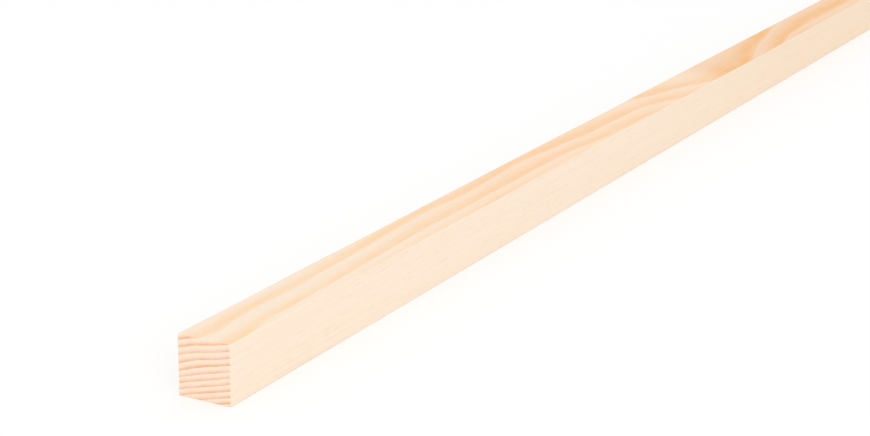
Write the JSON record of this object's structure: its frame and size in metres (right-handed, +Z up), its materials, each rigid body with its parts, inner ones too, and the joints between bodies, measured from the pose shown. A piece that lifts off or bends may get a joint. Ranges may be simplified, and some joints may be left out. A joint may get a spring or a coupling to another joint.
{
  "type": "planed timber batten",
  "caption": "Straight planed softwood batten of near-square section with eased long edges and square-sawn ends, for framing and joinery.",
  "frame": {"origin": "centre of the bottom face, on the floor", "axes": "+X along the grain and the length, +Y across the breadth, +Z up as it lies on its narrower face"},
  "size_m": [1.8, 0.034, 0.036],
  "materials": {
    "planed_softwood": "planed, unfinished"
  },
  "bodies": {
    "root": {"batten": "planed_softwood"}
  },
  "joints": []
}
